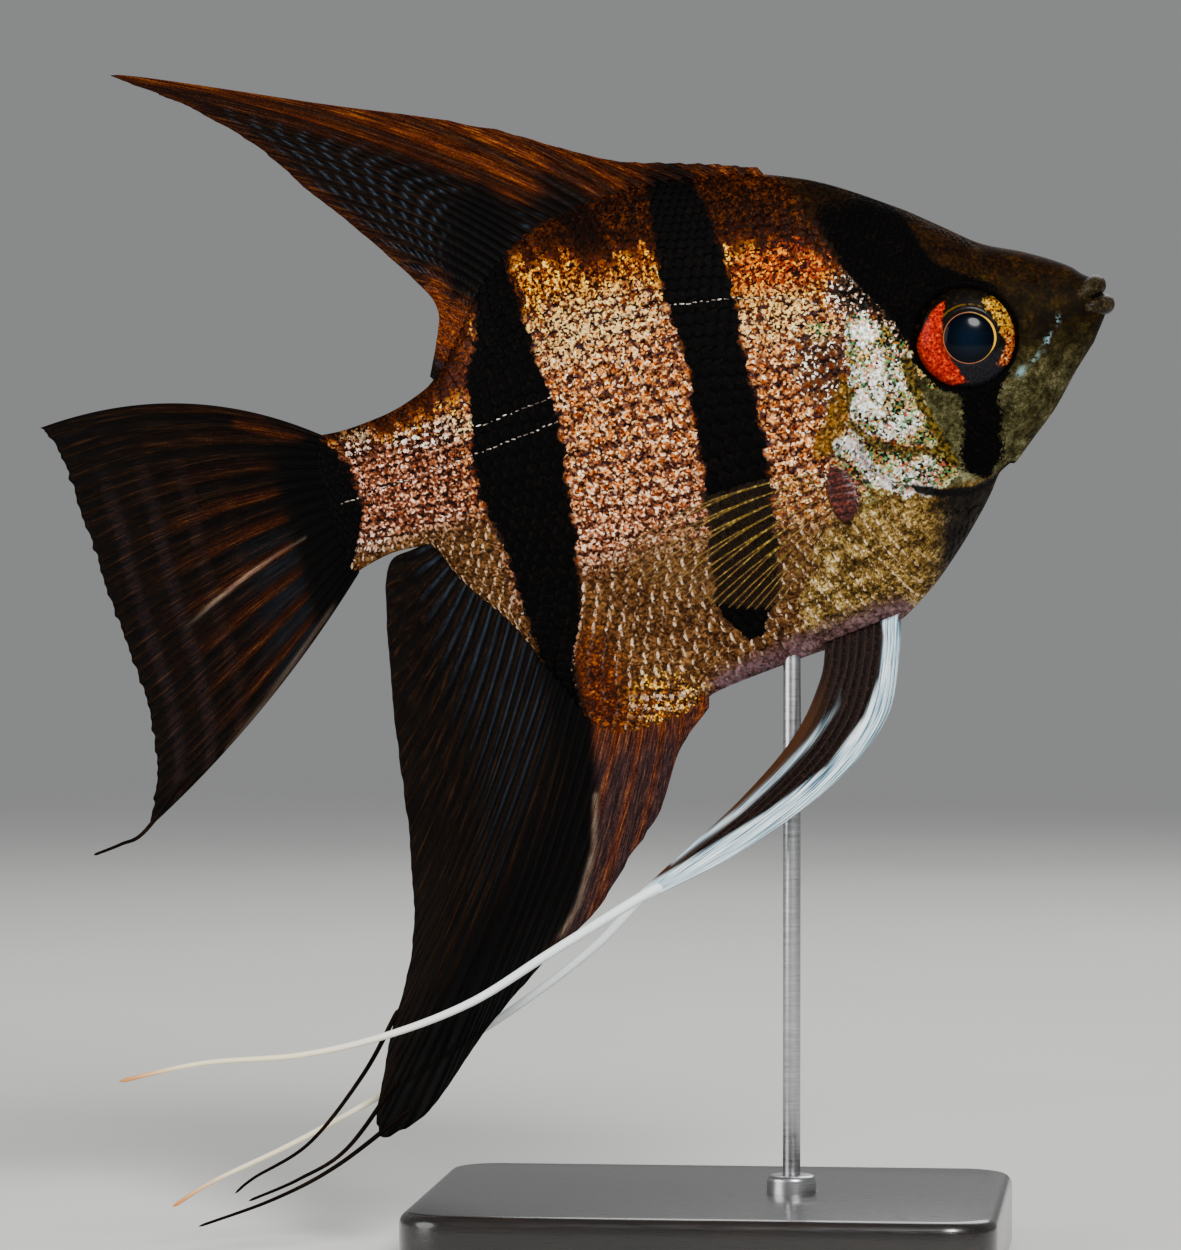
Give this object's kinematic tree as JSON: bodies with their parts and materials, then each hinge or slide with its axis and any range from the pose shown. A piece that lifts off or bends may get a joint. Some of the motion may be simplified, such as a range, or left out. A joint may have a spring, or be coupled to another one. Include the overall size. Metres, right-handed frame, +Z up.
{
  "type": "freshwater angelfish display model",
  "caption": "Life-size still model of a freshwater angelfish, nose slightly up, with tall dorsal and anal fins and trailing pelvic streamers, held on a rod over a flat base.",
  "frame": {"origin": "centre of the underside of the stand's base, which rests on the surface", "axes": "+X is the level direction in which the fish heads, +Y is the fish's left side, +Z is up. The body's axis climbs 15 degrees towards the head."},
  "size_m": [0.1227, 0.054, 0.1347],
  "materials": {
    "flank_skin": "satin, silvery brown scales with near-black bars",
    "head_skin": "satin, olive brown above, silver on the cheek",
    "gill_cover_skin": "silvery, with greenish and pink lights",
    "eye_gloss": "clear gloss over a red and gold ring and a blue-black pupil",
    "dark_fin": "thin smoky membrane with orange-brown and pale rays",
    "clear_fin": "thin clear membrane with yellowish rays",
    "white_ray": "bluish white, tips yellow",
    "base_lacquer": "dark lacquered hardwood, satin",
    "rod_steel": "brushed"
  },
  "bodies": {
    "root": {"head": "head_skin", "lower_jaw": "head_skin", "gill_cover_left": "gill_cover_skin", "gill_cover_right": "gill_cover_skin", "eye_left": "eye_gloss", "eye_right": "eye_gloss", "trunk": "flank_skin", "tail": "flank_skin", "dorsal_fin": "dark_fin", "anal_fin": "dark_fin", "caudal_fin": "dark_fin", "pectoral_fin_left": "clear_fin", "pectoral_fin_right": "clear_fin", "pelvic_fin_left": "white_ray", "pelvic_fin_right": "white_ray", "pelvic_streamer_left": "white_ray", "pelvic_streamer_right": "white_ray", "stand_base": "base_lacquer", "stand_rod": "rod_steel", "stand_collar": "rod_steel"}
  },
  "joints": []
}
